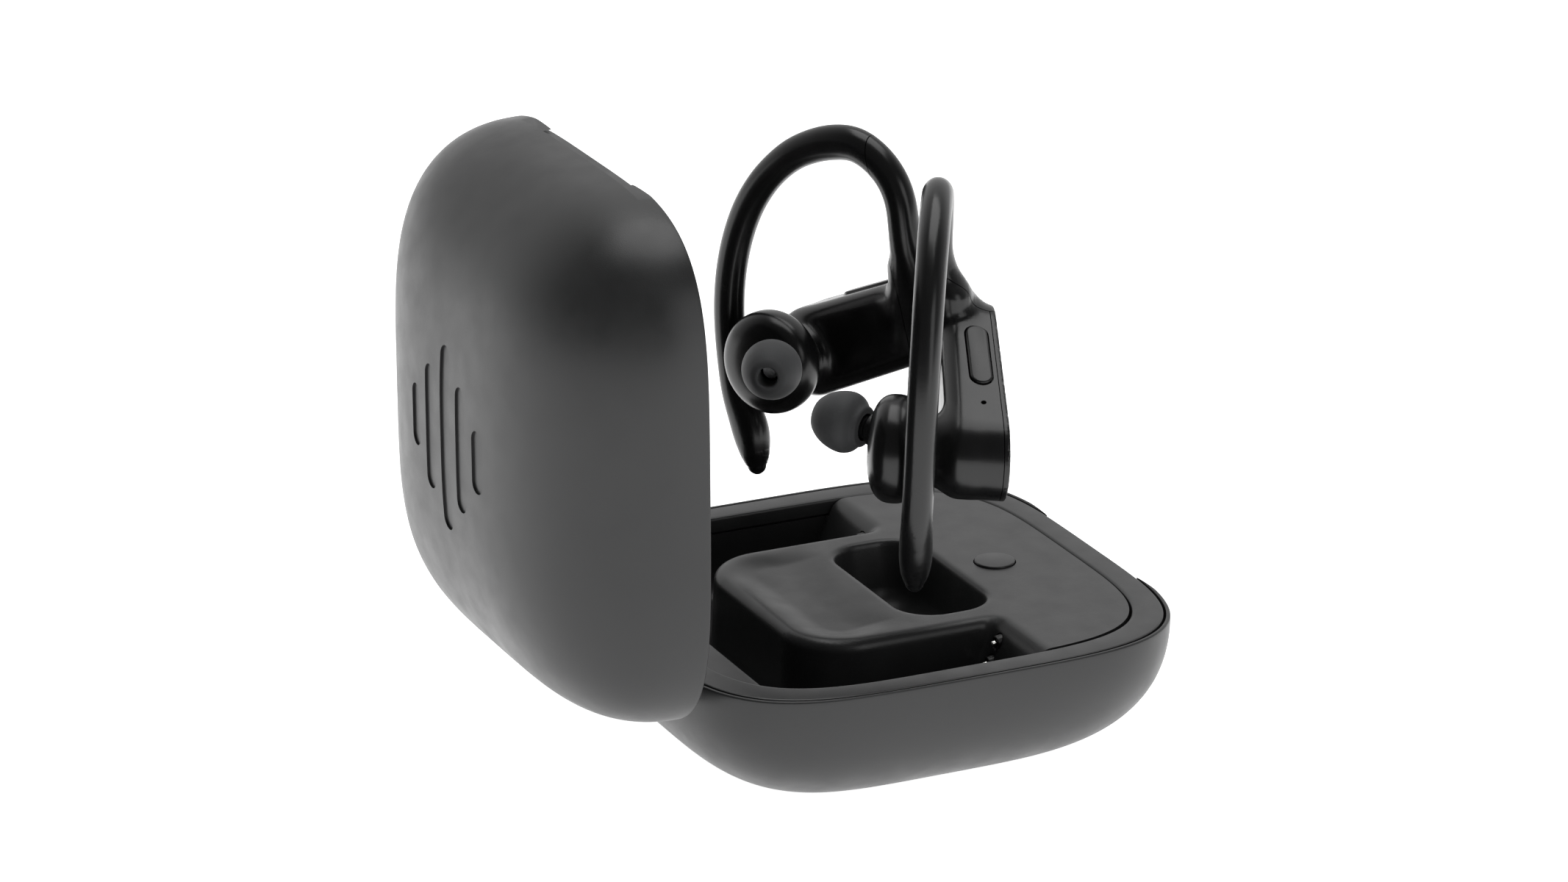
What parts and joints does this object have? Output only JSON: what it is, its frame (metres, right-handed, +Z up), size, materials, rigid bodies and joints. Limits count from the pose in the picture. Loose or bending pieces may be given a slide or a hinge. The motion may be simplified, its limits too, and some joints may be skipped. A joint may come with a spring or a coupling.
{
  "type": "wireless earbuds case",
  "caption": "Squircle charging case with a hinged lid, recessed tray and deck button, and its ear-hook earbuds standing above the tray.",
  "frame": {"origin": "centre of the flat foot under the base", "axes": "+Z up, -Y towards the thumb scoop at the front, +Y towards the hinge, +X towards the right earbud"},
  "size_m": [0.077, 0.1028, 0.0937],
  "materials": {
    "shell_plastic": "satin dark grey moulded plastic",
    "tray_plastic": "satin dark grey moulded plastic",
    "gloss_black": "smooth glossy black",
    "silicone": "matte dark grey silicone",
    "seat_plastic": "dark moulded plastic",
    "plated_contact": "bright plated contact",
    "steel": "plain steel",
    "circuit_board": "green solder mask",
    "battery_wrap": "grey aluminium-laminate pouch film",
    "light_pipe": "frosted clear plastic"
  },
  "bodies": {
    "base": {"base_shell": "shell_plastic", "rim_frame": "shell_plastic", "tray": "tray_plastic", "button_board": "circuit_board", "button_switch": "steel", "case_battery": "battery_wrap", "case_battery_front": "battery_wrap", "main_board": "circuit_board", "charge_port": "steel", "status_light": "light_pipe", "hinge_bracket": "steel", "hinge_pin": "steel", "base_magnet_left": "steel", "contact_seat_left_1": "seat_plastic", "contact_seat_left_2": "seat_plastic", "base_magnet_right": "steel", "contact_seat_right_1": "seat_plastic", "contact_seat_right_2": "seat_plastic"},
    "lid": {"lid_shell": "shell_plastic", "lid_liner": "tray_plastic", "hinge_arm": "shell_plastic", "lid_magnet_left": "steel", "lid_magnet_right": "steel"},
    "case_button": {"case_button": "tray_plastic"},
    "contact_pin_left_1": {"contact_pin_left_1": "plated_contact"},
    "contact_pin_left_2": {"contact_pin_left_2": "plated_contact"},
    "earbud_left": {"bud_housing_left": "gloss_black", "bud_cover_left": "gloss_black", "bud_pod_left": "gloss_black", "nozzle_left": "gloss_black", "ear_hook_left": "gloss_black", "ear_tip_left": "silicone", "speaker_driver_left": "steel", "nozzle_mesh_left": "steel", "bud_battery_left": "battery_wrap"},
    "volume_rocker_left": {"volume_rocker_left": "gloss_black"},
    "push_button_left": {"push_button_left": "gloss_black"},
    "contact_pin_right_1": {"contact_pin_right_1": "plated_contact"},
    "contact_pin_right_2": {"contact_pin_right_2": "plated_contact"},
    "earbud_right": {"bud_housing_right": "gloss_black", "bud_cover_right": "gloss_black", "bud_pod_right": "gloss_black", "nozzle_right": "gloss_black", "ear_hook_right": "gloss_black", "ear_tip_right": "silicone", "speaker_driver_right": "steel", "nozzle_mesh_right": "steel", "bud_battery_right": "battery_wrap"},
    "volume_rocker_right": {"volume_rocker_right": "gloss_black"},
    "push_button_right": {"push_button_right": "gloss_black"}
  },
  "joints": [
    {"name": "lid_hinge", "type": "hinge", "parent": "base", "child": "lid", "pos_m": [0, 0.0368, 0.0186], "axis": [1, 0, 0], "range_deg": [0, 90.2]},
    {"name": "case_button_press", "type": "slide", "parent": "base", "child": "case_button", "axis": [0, 0, 1], "range_m": [-0.0004, 0], "stiffness_N_per_m": 500},
    {"name": "contact_pin_left_1_slide", "type": "slide", "parent": "base", "child": "contact_pin_left_1", "axis": [0, 0.9854, -0.1701], "range_m": [-0.0005, 0], "stiffness_N_per_m": 120},
    {"name": "contact_pin_left_2_slide", "type": "slide", "parent": "base", "child": "contact_pin_left_2", "axis": [0, 0.9854, -0.1701], "range_m": [-0.0005, 0], "stiffness_N_per_m": 120},
    {"name": "earbud_left_slide", "type": "slide", "parent": "base", "child": "earbud_left", "axis": [0, -1, 0], "range_m": [0, 0.064]},
    {"name": "volume_rocker_left_rock", "type": "hinge", "parent": "earbud_left", "child": "volume_rocker_left", "pos_m": [-0.01671, -0.01015, 0.06143], "axis": [-0.4856, -0.8732, -0.041], "range_deg": [-2.5, 2.5], "stiffness_Nm_per_rad": 0.02},
    {"name": "push_button_left_press", "type": "slide", "parent": "earbud_left", "child": "push_button_left", "axis": [-0.3509, -0.9355, -0.0406], "range_m": [-0.0003, 0], "stiffness_N_per_m": 400},
    {"name": "contact_pin_right_1_slide", "type": "slide", "parent": "base", "child": "contact_pin_right_1", "axis": [0, 0.9854, -0.1701], "range_m": [-0.0005, 0], "stiffness_N_per_m": 120},
    {"name": "contact_pin_right_2_slide", "type": "slide", "parent": "base", "child": "contact_pin_right_2", "axis": [0, 0.9854, -0.1701], "range_m": [-0.0005, 0], "stiffness_N_per_m": 120},
    {"name": "earbud_right_slide", "type": "slide", "parent": "base", "child": "earbud_right", "axis": [0, -1, 0], "range_m": [0, 0.064]},
    {"name": "volume_rocker_right_rock", "type": "hinge", "parent": "earbud_right", "child": "volume_rocker_right", "pos_m": [0.01671, -0.01015, 0.06143], "axis": [0.4856, -0.8732, -0.041], "range_deg": [-2.5, 2.5], "stiffness_Nm_per_rad": 0.02},
    {"name": "push_button_right_press", "type": "slide", "parent": "earbud_right", "child": "push_button_right", "axis": [0.3509, -0.9355, -0.0406], "range_m": [-0.0003, 0], "stiffness_N_per_m": 400}
  ],
  "couplings": [
    {"joint": "earbud_left_slide", "follows": "lid_hinge", "m_per_rad": 0.04065},
    {"joint": "earbud_right_slide", "follows": "lid_hinge", "m_per_rad": 0.04065}
  ]
}
